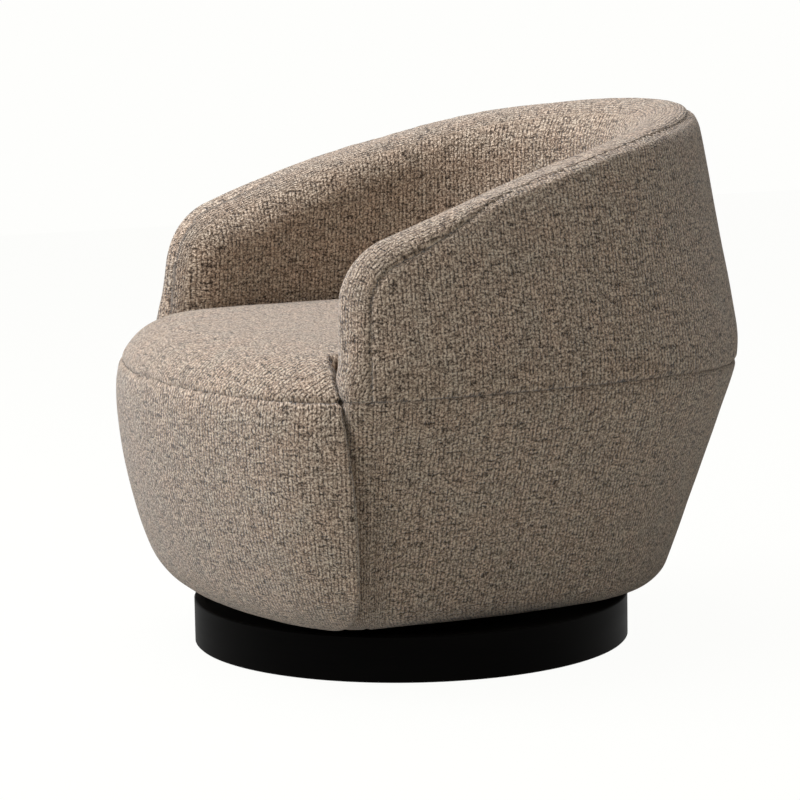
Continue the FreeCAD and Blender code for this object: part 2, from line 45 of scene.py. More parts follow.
# Form of the upholstered shell, in metres and degrees
shell = {
    "halfWidth": 0.378, "halfDepth": 0.429, "frontRadius": 0.603, "cornerRadius": 0.197,
    "sideRadius": 1.224, "backRadius": 0.364,
    "bottom": 0.070, "bottomRound": 0.029, "waistHeight": 0.407, "waistRadius": 0.147,
    "upperLean": 10.3, "lowerLean": 19.2,
    "frontEdge": -0.284, "frontRound": 0.230, "frontLowLean": 7.2, "frontHighLean": 4.8,
    "noseRadius": 0.100, "rimRadius": 3.300, "rimSlope": 9.0, "topHeight": 0.739, "topDepth": 0.366,
    "wellHeight": 0.434, "armInset": 0.098, "armRise": 0.16, "backInset": 0.170, "backRise": -0.075,
    "noseOuterRound": 0.026, "rimOuterRound": 0.015, "backOuterRound": 0.034,
    "noseInnerRound": 0.076, "innerRound": 0.046, "creaseRound": 0.009,
    "seamHeight": 0.3905, "seamFall": 0.009,
}
cushion = {
    "widest": 0.356, "topRadius": 0.087, "frontRadius": 0.640, "bottomRound": 0.060,
    "crownRadius": 0.900, "crownInset": 0.180, "gap": 0.0016, "creaseRound": 0.010,
    "creaseSharper": 0.85,
}
# Where along Y or Z one form passes over into the next
stations = {
    "innerEdge": (-0.20, 0.02), "noseToRim": (-0.22, -0.05), "rimToBack": (0.10, 0.30),
    "creaseEnd": (0.389, 0.474), "seatCreaseEnd": (0.36, 0.40), "waistFall": (0.16, 0.40),
    "rimSeamRise": (-0.20, -0.02), "rimSeamFall": (0.15, 0.32), "softGroove": (0.384, 0.392),
}


def rad(degrees):
    return math.radians(degrees)


def circlesMeet(first, firstRadius, second, secondRadius):
    line = second - first
    distance = line.length
    along = (distance ** 2 + firstRadius ** 2 - secondRadius ** 2) / (2 * distance)
    across = math.sqrt(firstRadius ** 2 - along ** 2)
    line.normalize()
    return first + line * along + Vector((line.y, -line.x)) * across


def planAngle(vector):
    return math.atan2(vector.y, vector.x)


def layOutPlan():
    s = shell
    back = Vector((0, s["halfDepth"] - s["backRadius"]))
    front = Vector((0, s["frontRadius"] - s["halfDepth"]))
    sideX = s["halfWidth"] - s["sideRadius"]
    drop = math.sqrt((s["sideRadius"] - s["backRadius"]) ** 2 - sideX ** 2)
    side = Vector((sideX, back.y - drop))
    corner = circlesMeet(side, s["sideRadius"] - s["cornerRadius"],
                         front, s["frontRadius"] - s["cornerRadius"])
    turns = [-math.pi / 2, planAngle(corner - front), planAngle(corner - side),
             planAngle(back - side), math.pi / 2]
    centres = [front, corner, side, back]
    radii = [s["frontRadius"], s["cornerRadius"], s["sideRadius"], s["backRadius"]]
    arcs, length = [], 0.0
    for centre, radius, start, end in zip(centres, radii, turns, turns[1:]):
        arcs.append({"centre": centre, "radius": radius, "start": start, "end": end, "before": length})
        length += radius * (end - start)
    return arcs, length


planArcs, halfGirth = layOutPlan()


def layOutSide():
    s = shell
    front = Vector((s["frontEdge"] + s["frontRound"], s["waistHeight"]))
    rim = Vector((s["topDepth"] + s["rimRadius"] * math.sin(rad(s["rimSlope"])),
                  s["topHeight"] - s["rimRadius"] * math.cos(rad(s["rimSlope"]))))
    high = rad(s["frontHighLean"])
    normal = Vector((-math.cos(high), math.sin(high)))
    start = front + normal * (s["frontRound"] - s["noseRadius"])
    up = Vector((math.sin(high), math.cos(high)))
    offset = start - rim
    half = offset.dot(up)
    free = offset.dot(offset) - (s["rimRadius"] - s["noseRadius"]) ** 2
    nose = start + up * (math.sqrt(half ** 2 - free) - half)
    return {"front": front, "rim": rim, "nose": nose, "normal": normal, "toRim": (nose - rim).normalized()}


sideView = layOutSide()


# Depths below the surfaces of the shell: plus inside, minus outside
def rounded(first, second, radius):
    corner = radius - np.hypot(np.maximum(radius - first, 0), np.maximum(radius - second, 0))
    return np.where((first > radius) & (second > radius), np.minimum(first, second), corner)


def ease(value, low, high):
    t = np.clip((value - low) / (high - low), 0, 1)
    return t * t * (3 - 2 * t)


def eased(first, second, value, station):
    return first + (second - first) * ease(value, *station)


def planInset(x, y):
    # Depth inside the plan outline, the run round it from the front, and the way it faces
    x = np.abs(x)
    passed = np.ones(x.shape, bool)
    inset, along, facing = np.zeros(x.shape), np.zeros(x.shape), np.zeros(x.shape)
    for arc in planArcs:
        dx, dy = x - arc["centre"].x, y - arc["centre"].y
        if arc["before"] > 0:
            passed = passed & (math.cos(arc["start"]) * dy - math.sin(arc["start"]) * dx > 0)
        turn = np.arctan2(dy, dx)
        inset = np.where(passed, arc["radius"] - np.hypot(dx, dy), inset)
        along = np.where(passed, arc["before"] + arc["radius"] * (turn - arc["start"]), along)
        facing = np.where(passed, turn, facing)
    return inset, along, facing


def bulge(out, up, radius, high, low):
    # Depth under an arc that runs on as straight lines above and below
    angle = np.arctan2(up, out)
    lines = np.minimum(radius - out * math.cos(high) - up * math.sin(high),
                       radius - out * math.cos(low) - up * math.sin(low))
    return np.where((angle < high) & (angle > low), radius - np.hypot(out, up), lines)


def wallDepth(p):
    s = shell
    inset = planInset(p[:, 0], p[:, 1])[0]
    return bulge(s["waistRadius"] - inset, p[:, 2] - s["waistHeight"], s["waistRadius"],
                 rad(s["upperLean"]), -rad(s["lowerLean"]))


def sideDepth(p):
    s = shell
    y, z = p[:, 1], p[:, 2]
    v = sideView
    front = bulge(v["front"].x - y, z - v["front"].y, s["frontRound"],
                  rad(s["frontHighLean"]), -rad(s["frontLowLean"]))
    rim = s["rimRadius"] - np.hypot(y - v["rim"].x, z - v["rim"].y)
    dy, dz = y - v["nose"].x, z - v["nose"].y
    n, r = v["normal"], v["toRim"]
    inNose = (n.x * dz - n.y * dy < 0) & (dy * r.y - dz * r.x < 0)
    return np.where(inNose, s["noseRadius"] - np.hypot(dy, dz), np.minimum(front, rim))


def wellPlan(rise):
    # The well in plan, at a height above its kink: reach of its sides, rear wall, centre of the rear arc
    s, c = shell, planArcs[2]["centre"]
    slope = math.tan(rad(s["lowerLean"]))
    sideReach = s["sideRadius"] - s["armInset"] - np.where(rise > 0, s["armRise"] * rise, -slope * rise)
    rearY = s["halfDepth"] - s["backInset"] - np.where(rise > 0, s["backRise"] * rise, -slope * rise)
    k = sideReach - rearY
    return sideReach, rearY, (c.x ** 2 + c.y ** 2 - k ** 2) / (2 * (k + c.y))


def behindSides(x, y, rearCentre):
    c = planArcs[2]["centre"]
    return -c.x * (y - c.y) - (rearCentre - c.y) * (x - c.x) > 0


def wellDepth(p):
    c = planArcs[2]["centre"]
    x, y = np.abs(p[:, 0]), p[:, 1]
    sideReach, rearY, rearCentre = wellPlan(p[:, 2] - shell["wellHeight"])
    return np.where(behindSides(x, y, rearCentre), np.hypot(x, y - rearCentre) - (rearY - rearCentre),
                    np.hypot(x - c.x, y - c.y) - sideReach)


def innerEdge(p):
    # Side view and well together, with the round inner edge of the arms
    edgeRound = eased(shell["noseInnerRound"], shell["innerRound"], p[:, 1], stations["innerEdge"])
    return rounded(sideDepth(p), wellDepth(p), edgeRound)


def tubDepth(p):
    s = shell
    side = sideDepth(p)
    wall = rounded(wallDepth(p), p[:, 2] - s["bottom"], s["bottomRound"])
    outer = eased(s["noseOuterRound"], s["rimOuterRound"], p[:, 1], stations["noseToRim"])
    outer = outer + (s["backOuterRound"] - s["rimOuterRound"]) * ease(p[:, 1], *stations["rimToBack"])
    outer = eased(s["creaseRound"], outer, p[:, 2], stations["creaseEnd"])
    return np.minimum(rounded(side, wall, outer), innerEdge(p))


def seatProfile(p):
    c = cushion
    inset = planInset(p[:, 0], p[:, 1])[0]
    z = p[:, 2]
    reach = math.sqrt((c["crownRadius"] - c["topRadius"]) ** 2 - (c["crownInset"] - c["topRadius"]) ** 2)
    crownZ = c["widest"] - reach
    out, up = c["topRadius"] - inset, z - c["widest"]
    angle = np.arctan2(up, out)
    crownEnd = math.atan2(reach, -(c["topRadius"] - c["crownInset"]))
    edge = c["topRadius"] - np.hypot(out, up)
    crown = c["crownRadius"] - np.hypot(c["crownInset"] - inset, z - crownZ)
    flat = crownZ + c["crownRadius"] - z
    front = c["frontRadius"] - np.hypot(c["frontRadius"] - inset, up)
    top = np.where(inset > c["crownInset"], flat, np.where(angle > crownEnd, crown, edge))
    deep = np.where(up > 0, top, front)
    return rounded(deep, z - shell["bottom"], c["bottomRound"])


def seatDepth(p):
    c = cushion
    crease = c["creaseRound"] * (1 - c["creaseSharper"] * ease(p[:, 2], *stations["seatCreaseEnd"]))
    return rounded(seatProfile(p), -innerEdge(p) - c["gap"], crease)


def settle(p, depth, steps):
    # Walks the points down the slope of the depth until they lie on its surface
    reach, longestStep, leastSlope = 0.0004, 0.012, 0.2
    for _ in range(steps):
        here = depth(p)
        slope = np.empty_like(p)
        for axis in range(3):
            ahead = p.copy()
            ahead[:, axis] += reach
            behind = p.copy()
            behind[:, axis] -= reach
            slope[:, axis] = (depth(ahead) - depth(behind)) / (2 * reach)
        size = np.maximum((slope ** 2).sum(1), leastSlope)
        p = p - np.clip(here, -longestStep, longestStep)[:, None] * slope / size[:, None]
    return p


# Mesh helpers
def coordsOf(bm):
    return np.array([v.co for v in bm.verts], float).reshape(-1, 3)


def setCoords(bm, p):
    for vertex, place in zip(bm.verts, p):
        vertex.co = place


def objectFrom(bm, name):
    mesh = bpy.data.meshes.new(name)
    bm.to_mesh(mesh)
    bm.free()
    obj = bpy.data.objects.new(name, mesh)
    bpy.context.collection.objects.link(obj)
    return obj


def bmeshFrom(obj):
    bm = bmesh.new()
    evaluated = obj.evaluated_get(bpy.context.evaluated_depsgraph_get())
    bm.from_mesh(evaluated.to_mesh())
    evaluated.to_mesh_clear()
    return bm


def dropObject(obj):
    mesh = obj.data
    bpy.data.objects.remove(obj)
    bpy.data.meshes.remove(mesh)


def turnOn(bm, geom, centre, axis, degrees, steps):
    made = bmesh.ops.spin(bm, geom=geom, cent=centre, axis=axis, dvec=(0, 0, 0),
                          angle=rad(degrees), steps=steps, use_merge=False, use_duplicate=False)
    return made["geom_last"]


def vertsOf(geom):
    return [item for item in geom if isinstance(item, bmesh.types.BMVert)]


def lineTo(bm, vertex, place):
    end = bm.verts.new(place)
    bm.edges.new((vertex, end))
    return end


def arcTo(bm, vertex, centre, degrees, steps):
    # Draws an arc in the YZ plane; a plus angle turns from +Y towards +Z
    return vertsOf(turnOn(bm, [vertex], centre, (1, 0, 0), degrees, steps))[0]


def turnedBlock(drawSection, name):
    # The section is drawn at the front centre, then turned about each plan arc in its turn
    bm = bmesh.new()
    drawSection(bm)
    last = list(bm.verts) + list(bm.edges)
    for arc, steps in zip(planArcs, solids["planSteps"]):
        last = turnOn(bm, last, (arc["centre"].x, arc["centre"].y, 0), (0, 0, 1),
                      math.degrees(arc["end"] - arc["start"]), steps)
    bmesh.ops.remove_doubles(bm, verts=bm.verts, dist=solids["weld"])
    everything = list(bm.verts) + list(bm.edges) + list(bm.faces)
    bmesh.ops.mirror(bm, geom=everything, axis="X", merge_dist=solids["mirrorWeld"])
    bmesh.ops.remove_doubles(bm, verts=bm.verts, dist=solids["mirrorWeld"])
    bmesh.ops.holes_fill(bm, edges=[e for e in bm.edges if e.is_boundary], sides=0)
    bmesh.ops.recalc_face_normals(bm, faces=bm.faces)
    return objectFrom(bm, name)


# Rough solids that the skins start from: the settling on the depths gives them their final form
solids = {
    "planSteps": (8, 12, 8, 14), "coreInset": 0.185, "hemRadius": 0.040, "wallTop": 0.80,
    "below": -0.1, "halfSpan": 0.6, "wellLevels": (-0.05, shell["wellHeight"], 0.90), "wellFront": -0.5,
    "flatEnd": 0.005, "weld": 1e-5, "mirrorWeld": 1e-4, "sameLevel": 1e-6,
}
arcSteps = {
    "hem": 6, "waist": 6, "seatHem": 6, "seatFront": 10, "seatEdge": 8, "crown": 3,
    "front": 6, "nose": 10, "rim": 30, "wellSide": 12, "wellRear": 30,
}


def drawWall(bm):
    s = shell
    front = -s["halfDepth"]
    hem = solids["hemRadius"]
    low = s["bottom"] + hem
    slack = s["waistRadius"] - hem + (low - s["waistHeight"]) * math.sin(rad(s["lowerLean"]))
    bottomY = front + s["waistRadius"] - slack / math.cos(rad(s["lowerLean"]))
    last = bm.verts.new((0, front + solids["coreInset"], s["bottom"]))
    last = lineTo(bm, last, (0, bottomY, s["bottom"]))
    last = arcTo(bm, last, (0, bottomY, low), -90 + s["lowerLean"], arcSteps["hem"])
    waist = (0, front + s["waistRadius"], s["waistHeight"])
    outwards = Vector((0, -math.cos(rad(s["lowerLean"])), -math.sin(rad(s["lowerLean"]))))
    last = lineTo(bm, last, Vector(waist) + outwards * s["waistRadius"])
    last = arcTo(bm, last, waist, -(s["lowerLean"] + s["upperLean"]), arcSteps["waist"])
    top = solids["wallTop"]
    last = lineTo(bm, last, (0, last.co.y + (top - last.co.z) * math.tan(rad(s["upperLean"])), top))
    lineTo(bm, last, (0, front + solids["coreInset"], top))


def drawSeat(bm):
    c = cushion
    front = -shell["halfDepth"]
    bottom = shell["bottom"]
    drop = c["widest"] - bottom - c["bottomRound"]
    reach = math.sqrt((c["frontRadius"] - c["bottomRound"]) ** 2 - drop ** 2)
    bottomY = front + c["frontRadius"] - reach
    turn = math.degrees(math.atan2(drop, reach))
    last = bm.verts.new((0, front + solids["coreInset"], bottom))
    last = lineTo(bm, last, (0, bottomY, bottom))
    last = arcTo(bm, last, (0, bottomY, bottom + c["bottomRound"]), -90 + turn, arcSteps["seatHem"])
    last = arcTo(bm, last, (0, front + c["frontRadius"], c["widest"]), -turn, arcSteps["seatFront"])
    crownY = math.sqrt((c["crownRadius"] - c["topRadius"]) ** 2 - (c["crownInset"] - c["topRadius"]) ** 2)
    bend = math.degrees(math.atan2(crownY, c["crownInset"] - c["topRadius"]))
    last = arcTo(bm, last, (0, front + c["topRadius"], c["widest"]), -bend, arcSteps["seatEdge"])
    crownCentre = (0, front + c["crownInset"], c["widest"] - crownY)
    last = arcTo(bm, last, crownCentre, -(90 - bend), arcSteps["crown"])
    lineTo(bm, last, last.co + Vector((0, solids["flatEnd"], 0)))


def sidePrism():
    s, v = shell, sideView
    bm = bmesh.new()
    lean = rad(s["frontLowLean"])
    low = Vector((-math.cos(lean), -math.sin(lean))) * s["frontRound"] + v["front"]
    below = solids["below"]
    foot = bm.verts.new((0, low.x + (low.y - below) * math.tan(lean), below))
    last = lineTo(bm, foot, (0, low.x, low.y))
    frontTurn = s["frontLowLean"] + s["frontHighLean"]
    last = arcTo(bm, last, (0, v["front"].x, v["front"].y), -frontTurn, arcSteps["front"])
    noseStart = v["nose"] + v["normal"] * s["noseRadius"]
    last = lineTo(bm, last, (0, noseStart.x, noseStart.y))
    noseTurn = math.degrees(v["normal"].angle(v["toRim"]))
    last = arcTo(bm, last, (0, v["nose"].x, v["nose"].y), -noseTurn, arcSteps["nose"])
    rimTurn = math.degrees(v["toRim"].angle(Vector((0, 1))))
    last = arcTo(bm, last, (0, v["rim"].x, v["rim"].y), -rimTurn, arcSteps["rim"])
    last = lineTo(bm, last, (0, last.co.y, below))
    bm.edges.new((last, foot))
    bmesh.ops.remove_doubles(bm, verts=bm.verts, dist=solids["weld"])
    face = bmesh.ops.contextual_create(bm, geom=list(bm.edges))["faces"]
    bmesh.ops.translate(bm, vec=(-solids["halfSpan"], 0, 0), verts=bm.verts)
    made = bmesh.ops.extrude_face_region(bm, geom=face)["geom"]
    bmesh.ops.translate(bm, vec=(2 * solids["halfSpan"], 0, 0), verts=vertsOf(made))
    bmesh.ops.recalc_face_normals(bm, faces=bm.faces)
    return objectFrom(bm, "sidePrism")


def wellLoop(bm, z):
    c = planArcs[2]["centre"]
    sideReach, _, rearCentre = (float(value) for value in wellPlan(z - shell["wellHeight"]))
    start = math.asin((solids["wellFront"] - c.y) / sideReach)
    turn = math.atan2(rearCentre - c.y, -c.x)
    first = bm.verts.new((c.x + sideReach * math.cos(start), c.y + sideReach * math.sin(start), z))
    last = [first]
    side, rear = arcSteps["wellSide"], arcSteps["wellRear"]
    for centre, angle, steps in (((c.x, c.y, z), turn - start, side),
                                 ((0, rearCentre, z), math.pi - 2 * turn, rear),
                                 ((-c.x, c.y, z), turn - start, side)):
        last = vertsOf(turnOn(bm, last, centre, (0, 0, 1), math.degrees(angle), steps))
    bm.edges.new((last[0], first))


def wellBlock():
    bm = bmesh.new()
    levels = solids["wellLevels"]
    for z in levels:
        wellLoop(bm, z)
    for low, high in zip(levels, levels[1:]):
        edges = [edge for edge in bm.edges if any(
            all(abs(vertex.co.z - level) < solids["sameLevel"] for vertex in edge.verts)
            for level in (low, high))]
        bmesh.ops.bridge_loops(bm, edges=edges)
    bmesh.ops.holes_fill(bm, edges=[e for e in bm.edges if e.is_boundary], sides=0)
    bmesh.ops.recalc_face_normals(bm, faces=bm.faces)
    return objectFrom(bm, "wellBlock")


def combine(target, tool, operation):
    modifier = target.modifiers.new("combine", "BOOLEAN")
    modifier.operation = operation
    modifier.object = tool
    modifier.solver = "EXACT"
    bm = bmeshFrom(target)
    name = target.name
    dropObject(target)
    return objectFrom(bm, name)


def evenSkin(obj, voxel):
    modifier = obj.modifiers.new("skin", "REMESH")
    modifier.mode = "VOXEL"
    modifier.voxel_size = voxel
    bm = bmeshFrom(obj)
    dropObject(obj)
    return bm


skin = {
    "voxel": 0.0055, "firstSteps": 4, "rounds": 4, "roundSteps": 2, "smoothing": 0.5,
    "clothVoxel": 0.0130, "out": 0.0022, "in": 0.0010, "pressure": 4.0, "frames": 16, "quality": 4,
    "neighbours": 4, "blend": 0.001,
}


def shapeSkin(bm, depth):
    setCoords(bm, settle(coordsOf(bm), depth, skin["firstSteps"]))
    for _ in range(skin["rounds"]):
        bmesh.ops.smooth_vert(bm, verts=bm.verts, factor=skin["smoothing"],
                              use_axis_x=True, use_axis_y=True, use_axis_z=True)
        setCoords(bm, settle(coordsOf(bm), depth, skin["roundSteps"]))


prism = sidePrism()
opening = wellBlock()
prism = combine(prism, opening, "DIFFERENCE")
tubSolid = combine(turnedBlock(drawWall, "tubSolid"), prism, "INTERSECT")
seatSolid = combine(turnedBlock(drawSeat, "seatSolid"), prism, "DIFFERENCE")
dropObject(prism)
dropObject(opening)
tubSkin = evenSkin(tubSolid, skin["voxel"])
seatSkin = evenSkin(seatSolid, skin["voxel"])
shapeSkin(tubSkin, tubDepth)
shapeSkin(seatSkin, seatDepth)
print("padded forms shaped", len(tubSkin.verts), len(seatSkin.verts))


# Seams, as fields that are zero on the seam line
seams = {
    "rimAtNose": 0.031, "rimAtArm": 0.004, "rimBackDrop": 0.008, "rimReach": 0.045, "backFrom": 0.1,
    "offsets": (0.0, -0.0028, 0.0028, -0.0065, 0.0065), "snap": 0.0011, "jump": 0.05,
    "grooveDepth": 0.0030, "grooveWidth": 0.0032, "leastPress": 1e-5, "softRim": 0.6,
    "wallFade": (0.030, 0.045), "seatFade": (0.02, 0.03),
}
panelReach = {"wall": 0.035, "seatTop": 0.030, "seatBand": 0.085, "bandBack": -0.2}


def waistSeam(p):
    return p[:, 2] - (shell["seamHeight"] - shell["seamFall"] * ease(p[:, 1], *stations["waistFall"]))


def rimSeam(p):
    down = eased(seams["rimAtNose"], seams["rimAtArm"], p[:, 1], stations["rimSeamRise"])
    down = down + seams["rimBackDrop"] * ease(p[:, 1], *stations["rimSeamFall"])
    return np.where(wallDepth(p) < seams["rimReach"], sideDepth(p) - down, 1.0)


def seatSeam(p):
    return p[:, 2] - shell["seamHeight"]


def backSeam(p):
    # The outer cover is joined once more at the middle of the back
    there = (p[:, 1] > seams["backFrom"]) & (rimSeam(p) > 0) & (wallDepth(p) < panelReach["wall"])
    return np.where(there, p[:, 0], 1.0)


def swell(bm, held):
    # Cloth simulation on a coarser copy: air pressure fills the cover between the places where
    # it is held. The fine skin takes over how far the copy moved outwards or inwards, up to a cap
    pad = objectFrom(evenSkin(objectFrom(bm.copy(), "fineCopy"), skin["clothVoxel"]), "pad")
    rest = np.array([v.co for v in pad.data.vertices], float)
    outwards = np.array([v.normal for v in pad.data.vertices], float)
    group = pad.vertex_groups.new(name="held")
    weights = np.round(held(rest), 1)
    for weight in np.unique(weights[weights > 0]):
        group.add(np.nonzero(weights == weight)[0].tolist(), float(weight), "REPLACE")
    swelling = pad.modifiers.new("swell", "CLOTH")
    swelling.settings.vertex_group_mass = "held"
    swelling.settings.use_pressure = True
    swelling.settings.uniform_pressure_force = skin["pressure"]
    swelling.settings.effector_weights.gravity = 0
    swelling.settings.quality = skin["quality"]
    swelling.collision_settings.use_collision = False
    swelling.point_cache.frame_end = skin["frames"]
    for step in range(1, skin["frames"] + 1):
        bpy.context.scene.frame_set(step)
    moved = bmeshFrom(pad)
    move = ((coordsOf(moved) - rest) * outwards).sum(1)
    moved.free()
    dropObject(pad)
    bpy.context.scene.frame_set(1)
    print("cloth moved", np.round(np.percentile(move * 1000, (0, 5, 25, 50, 75, 95, 100)), 2))
    limit = np.where(move > 0, skin["out"], skin["in"])
    move = limit * np.tanh(move / limit)
    tree = kdtree.KDTree(len(rest))
    for i, place in enumerate(rest):
        tree.insert(place, i)
    tree.balance()
    bm.normal_update()
    for vertex in bm.verts:
        total, amount = 0.0, 0.0
        for _, i, distance in tree.find_n(vertex.co, skin["neighbours"]):
            share = 1 / (distance + skin["blend"])
            total += share
            amount += share * move[i]
        vertex.co += vertex.normal * (amount / total)


# The cover is held at its hem, where seat and arms meet, and at the seams
holds = {
    "hem": 0.085, "wellReach": 0.02, "wellTop": 0.43, "creaseReach": 0.01, "creaseTop": 0.42,
    "seatReach": 0.012, "tubReach": 0.014, "seamWidth": 0.007, "seamReach": 0.02,
}


def nearLine(distance, width):
    return np.exp(-(distance / width) ** 2)


def tubHeld(p):
    h = holds
    hidden = (p[:, 2] < h["hem"]) | ((wellDepth(p) < h["wellReach"]) & (p[:, 2] < h["wellTop"]))
    hidden = hidden | ((sideDepth(p) < h["creaseReach"]) & (p[:, 2] < h["creaseTop"]) & (p[:, 1] < 0))
    waist = nearLine(waistSeam(p), h["seamWidth"]) * (wallDepth(p) < h["seamReach"])
    seam = np.maximum(waist, nearLine(rimSeam(p), h["seamWidth"]))
    return np.maximum(hidden, np.maximum(seam, nearLine(backSeam(p), h["seamWidth"])))


def seatHeld(p):
    h = holds
    hidden = (p[:, 2] < h["hem"]) | (seatProfile(p) > h["seatReach"]) | (innerEdge(p) > -h["tubReach"])
    return np.maximum(hidden, nearLine(seatSeam(p), h["seamWidth"]) * (seatProfile(p) < h["seamReach"]))


swell(tubSkin, tubHeld)
print("arms and back swollen")
swell(seatSkin, seatHeld)
print("seat swollen")


# Edges are cut where a field is zero, so that each panel has a clean sewn edge
def cutAlong(bm, field):
    value = field(coordsOf(bm))
    near = np.abs(value) < seams["snap"]
    value[near] = 0.0
    bm.verts.index_update()
    bm.verts.ensure_lookup_table()
    on = [bm.verts[int(i)] for i in np.nonzero(near)[0]]
    crossing = []
    for edge in bm.edges:
        a, b = (value[v.index] for v in edge.verts)
        # A jump in the field is where it ends, and isn't a seam
        if a * b < 0 and abs(a - b) < seams["jump"]:
            crossing.append((edge, edge.verts[0], a / (a - b)))
    for edge, first, share in crossing:
        on.append(bmesh.utils.edge_split(edge, first, share)[1])
    bmesh.ops.connect_verts(bm, verts=on)


def pressGroove(bm, field, mask):
    p = coordsOf(bm)
    press = seams["grooveDepth"] * np.exp(-(field(p) / seams["grooveWidth"]) ** 2) * mask(p)
    bm.normal_update()
    for vertex, amount in zip(bm.verts, press):
        if amount > seams["leastPress"]:
            vertex.co -= vertex.normal * amount


def onWall(p):
    return 1 - ease(wallDepth(p), *seams["wallFade"])


def onRim(p):
    return onWall(p) * eased(seams["softRim"], 1.0, p[:, 2], stations["softGroove"])


def onSeat(p):
    return 1 - ease(seatProfile(p), *seams["seatFade"])


# Unevenness of the padding, in waves per metre, height and start
padding = {
    "hills": (7.0, 0.0013, (0, 0, 0)), "hollows": (19.0, 0.0005, (5, 3, 1)),
    "puckers": (55.0, 0.0006, (2, 7, 4)), "puckerWidth": 0.014,
}


def wave(spot, name):
    scale, height, start = padding[name]
    return noise.noise(spot * scale + Vector(start)) * height


def unevenness(bm, mask):
    # Slow hills and hollows in the padding, and small puckers beside the seams
    p = coordsOf(bm)
    bm.normal_update()
    for vertex, place, weight in zip(bm.verts, p, mask(p)):
        spot = Vector(place)
        rise = wave(spot, "hills") + wave(spot, "hollows") + wave(spot, "puckers") * weight
        vertex.co += vertex.normal * rise


def besideTubSeams(p):
    width = padding["puckerWidth"]
    return np.maximum(nearLine(waistSeam(p), width), nearLine(rimSeam(p), width))


def besideSeatSeam(p):
    return nearLine(seatSeam(p), padding["puckerWidth"])


for offset in seams["offsets"]:
    for field in (waistSeam, rimSeam, backSeam):
        cutAlong(tubSkin, lambda p: field(p) - offset)
    cutAlong(seatSkin, lambda p: seatSeam(p) - offset)
unevenness(tubSkin, besideTubSeams)
unevenness(seatSkin, besideSeatSeam)
pressGroove(tubSkin, waistSeam, onWall)
pressGroove(tubSkin, rimSeam, onRim)
pressGroove(tubSkin, backSeam, onRim)
pressGroove(seatSkin, seatSeam, onSeat)
print("seams cut")


# Panels
def panelFrom(bm, keep):
    part = bm.copy()
    part.faces.ensure_lookup_table()
    middle = np.array([f.calc_center_median() for f in part.faces], float)
    wanted = keep(middle)
    gone = [f for f, stays in zip(part.faces, wanted) if not stays]
    bmesh.ops.delete(part, geom=gone, context="FACES")
    return part


def addWeaveMap(bm, along, up, name="weave"):
    layer = bm.loops.layers.uv.new(name)
    p = coordsOf(bm)
    bm.verts.index_update()
    u, v = along(p), up(p)
    for face in bm.faces:
        for loop in face.loops:
            i = loop.vert.index
            loop[layer].uv = (u[i], v[i])


# Maps of the weave: places on the cloth, in metres
maps = {"wallMiddle": 0.25, "wallTurn": 0.1, "bandShare": 0.5, "wellRise": 0.1, "stripBlend": 0.006}


def sideOf(p):
    return np.where(p[:, 0] < 0, -1, 1)


def fromFront(p):
    return sideOf(p) * planInset(p[:, 0], p[:, 1])[1]


def fromBack(p):
    return sideOf(p) * (halfGirth - planInset(p[:, 0], p[:, 1])[1])


def roundCrease(p):
    # Run from the back, carried on where the lower cover turns into the crease
    return fromBack(p) + sideOf(p) * np.maximum(wallDepth(p), 0)


def roundBandEnd(p):
    # Run from the front, carried on where the band turns into the crease
    return fromFront(p) + sideOf(p) * np.maximum(seatProfile(p), 0)


def upWall(p):
    # Height, carried on over the rounded edges at the rim and the hem
    turn = np.clip((p[:, 2] - maps["wallMiddle"]) / maps["wallTurn"], -1, 1)
    return p[:, 2] + turn * np.maximum(wallDepth(p), 0)


def downBand(p):
    # Height, drawn out where the band turns under
    under = planInset(p[:, 0], p[:, 1])[0] - np.maximum(seatProfile(p), 0)
    return p[:, 2] - maps["bandShare"] * under


def overSeat(p):
    # The top cover laid flat: what hangs over the rounded edge is added outwards
    c = cushion
    facing = planInset(p[:, 0], p[:, 1])[2]
    bend = np.arccos(np.clip((p[:, 2] - c["widest"]) / c["topRadius"], -1, 1))
    extra = c["topRadius"] * (bend - np.sin(bend)) + np.maximum(c["widest"] - p[:, 2], 0)
    return p[:, 0] + sideOf(p) * np.cos(facing) * extra, p[:, 1] + np.sin(facing) * extra


def wellAlong(p):
    # Run round the inner face of back and arms, from the middle of the back
    c = planArcs[2]["centre"]
    sideReach, rearY, rearCentre = (float(value) for value in wellPlan(maps["wellRise"]))
    turn = math.atan2(rearCentre - c.y, -c.x)
    x, y = np.abs(p[:, 0]), p[:, 1]
    rear = (math.pi / 2 - np.arctan2(y - rearCentre, x)) * (rearY - rearCentre)
    side = (math.pi / 2 - turn) * (rearY - rearCentre) + (turn - np.arctan2(y - c.y, x - c.x)) * sideReach
    return sideOf(p) * np.where(behindSides(x, y, rearCentre), rear, side)


def acrossStrip(p):
    # Across the rim, counted from its inner edge
    well, side = wellDepth(p), sideDepth(p)
    return well + np.where(well < wallDepth(p), -side, side)


